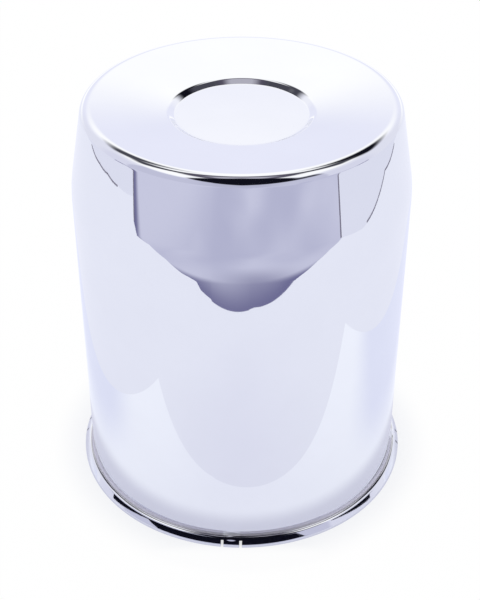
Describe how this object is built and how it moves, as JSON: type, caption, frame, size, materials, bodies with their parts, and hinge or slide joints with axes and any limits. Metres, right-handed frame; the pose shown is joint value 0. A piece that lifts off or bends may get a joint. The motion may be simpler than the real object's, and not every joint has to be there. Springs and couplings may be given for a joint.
{
  "type": "wheel center cap",
  "caption": "Tall chromed push-through wheel center cap: a drawn cup with a tapered shoulder, dished top with a round recess, and a flange with spring tabs at its open foot.",
  "frame": {"origin": "on the cap's axis, in the plane of the open end's lower edge", "axes": "+Z along the axis from the open flanged end to the dished top; tabs lie on the X and Y axes"},
  "size_m": [0.1136, 0.1136, 0.1345],
  "materials": {
    "chrome_sheet": "polished"
  },
  "bodies": {
    "root": {"center_cap": "chrome_sheet"}
  },
  "joints": []
}
